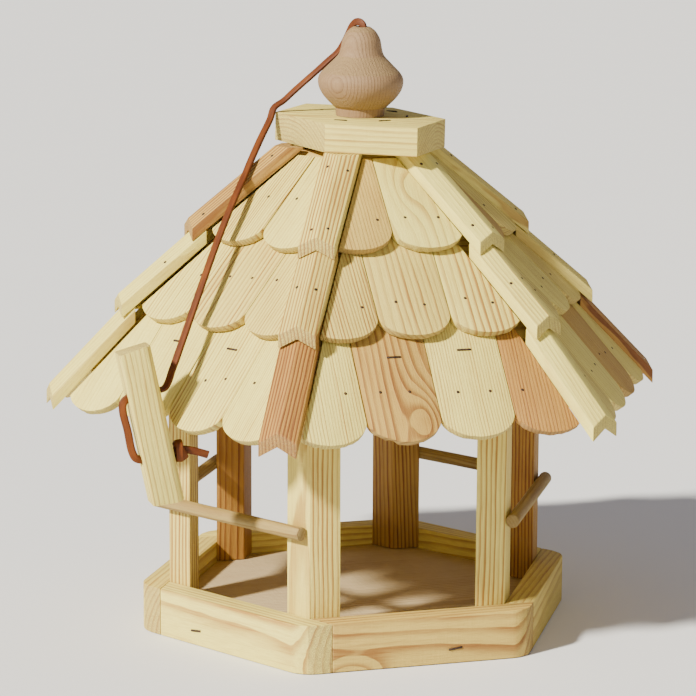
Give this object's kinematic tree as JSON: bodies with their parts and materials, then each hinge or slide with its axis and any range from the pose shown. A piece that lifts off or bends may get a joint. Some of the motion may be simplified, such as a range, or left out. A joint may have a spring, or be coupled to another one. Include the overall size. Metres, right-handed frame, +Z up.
{
  "type": "bird feeder",
  "caption": "Hexagonal open-sided wooden feeder with a shingled pyramid roof on posts, dowel perches and a shallow floor tray, hung by a leather lace with a wooden toggle.",
  "frame": {"origin": "middle of the floor panel's underside, on the surface the feeder stands on", "axes": "+Z up, +X towards the right corner of the hexagon, -Y towards the front opening, which has no perch"},
  "size_m": [0.48, 0.4292, 0.4602],
  "materials": {
    "pine": "sawn, unfinished",
    "red_pine": "sawn, unfinished",
    "beech": "turned smooth, unfinished",
    "leather": "satin"
  },
  "bodies": {
    "feeder": {"floor_panel": "pine", "rim_board_right_back": "pine", "rim_board_back": "pine", "rim_board_left_back": "pine", "rim_board_left_front": "pine", "rim_board_front": "pine", "rim_board_right_front": "pine", "post_right": "pine", "post_back_right": "pine", "post_back_left": "pine", "post_left": "pine", "post_front_left": "pine", "post_front_right": "pine", "perch_left_front": "pine", "perch_right_front": "pine", "perch_right_back": "pine", "perch_left_back": "pine", "roof_plate": "red_pine", "roof_deck": "red_pine", "shingle_row_upper_right_back": "pine", "shingle_row_upper_back": "pine", "shingle_row_upper_left_back": "pine", "shingle_row_upper_left_front": "pine", "shingle_row_upper_front": "pine", "shingle_row_upper_right_front": "pine", "shingle_row_middle_right_back": "pine", "shingle_row_middle_back": "pine", "shingle_row_middle_left_back": "pine", "shingle_row_middle_left_front": "pine", "shingle_row_middle_front": "pine", "shingle_row_middle_right_front": "pine", "shingle_row_lower_right_back": "pine", "shingle_row_lower_back": "pine", "shingle_row_lower_left_back": "pine", "shingle_row_lower_left_front": "pine", "shingle_row_lower_front": "pine", "shingle_row_lower_right_front": "pine", "hip_cap_upper_right": "pine", "hip_cap_upper_back_right": "pine", "hip_cap_upper_back_left": "pine", "hip_cap_upper_left": "pine", "hip_cap_upper_front_left": "pine", "hip_cap_upper_front_right": "pine", "hip_cap_middle_right": "pine", "hip_cap_middle_back_right": "pine", "hip_cap_middle_back_left": "pine", "hip_cap_middle_left": "pine", "hip_cap_middle_front_left": "pine", "hip_cap_middle_front_right": "pine", "hip_cap_lower_right": "pine", "hip_cap_lower_back_right": "pine", "hip_cap_lower_back_left": "pine", "hip_cap_lower_left": "pine", "hip_cap_lower_front_left": "pine", "hip_cap_lower_front_right": "pine", "top_block": "pine", "finial": "beech", "hanging_lace": "leather"},
    "toggle": {"toggle_bar": "pine", "toggle_lace": "leather"}
  },
  "joints": [
    {"name": "toggle_swing", "type": "hinge", "parent": "feeder", "child": "toggle", "pos_m": [-0.19375, -0.118, 0.20495], "axis": [0.9781, 0, 0.2079], "range_deg": [-75, 4]}
  ]
}
